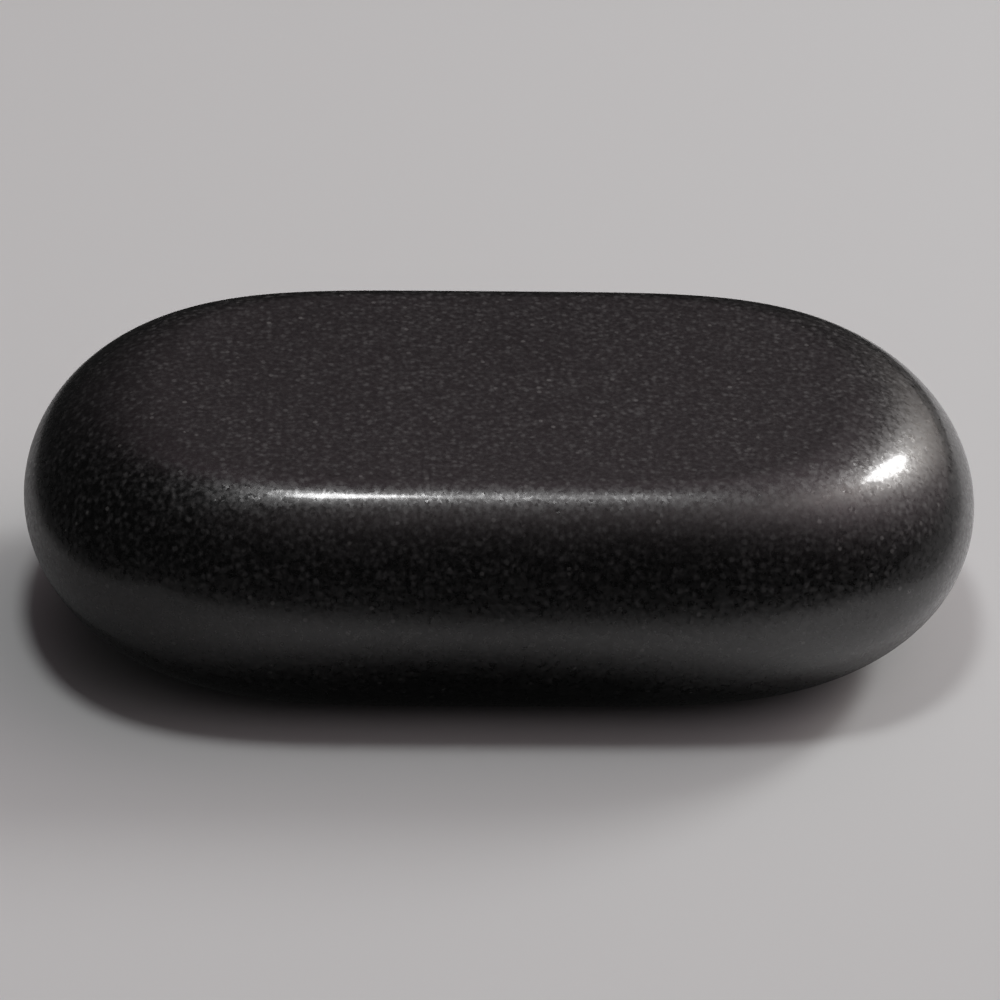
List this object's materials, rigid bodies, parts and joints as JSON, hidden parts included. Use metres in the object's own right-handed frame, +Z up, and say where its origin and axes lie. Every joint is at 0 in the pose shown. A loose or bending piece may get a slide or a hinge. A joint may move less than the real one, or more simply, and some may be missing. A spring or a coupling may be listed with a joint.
{
  "type": "basalt massage stone",
  "caption": "Oblong massage stone of dark basalt with full round ends, a slightly crowned upper face, a flat resting face and a smooth satin polish.",
  "frame": {"origin": "middle of the flat face that the stone rests on, which is the bottom centre of its bounding box", "axes": "+X along the stone's length, +Y across its width, +Z up from the resting face"},
  "size_m": [0.1, 0.05, 0.029],
  "materials": {
    "basalt": "dark warm-grey basalt with fine pale flecks, polished to a satin gloss"
  },
  "bodies": {
    "root": {"basalt_stone": "basalt"}
  },
  "joints": []
}
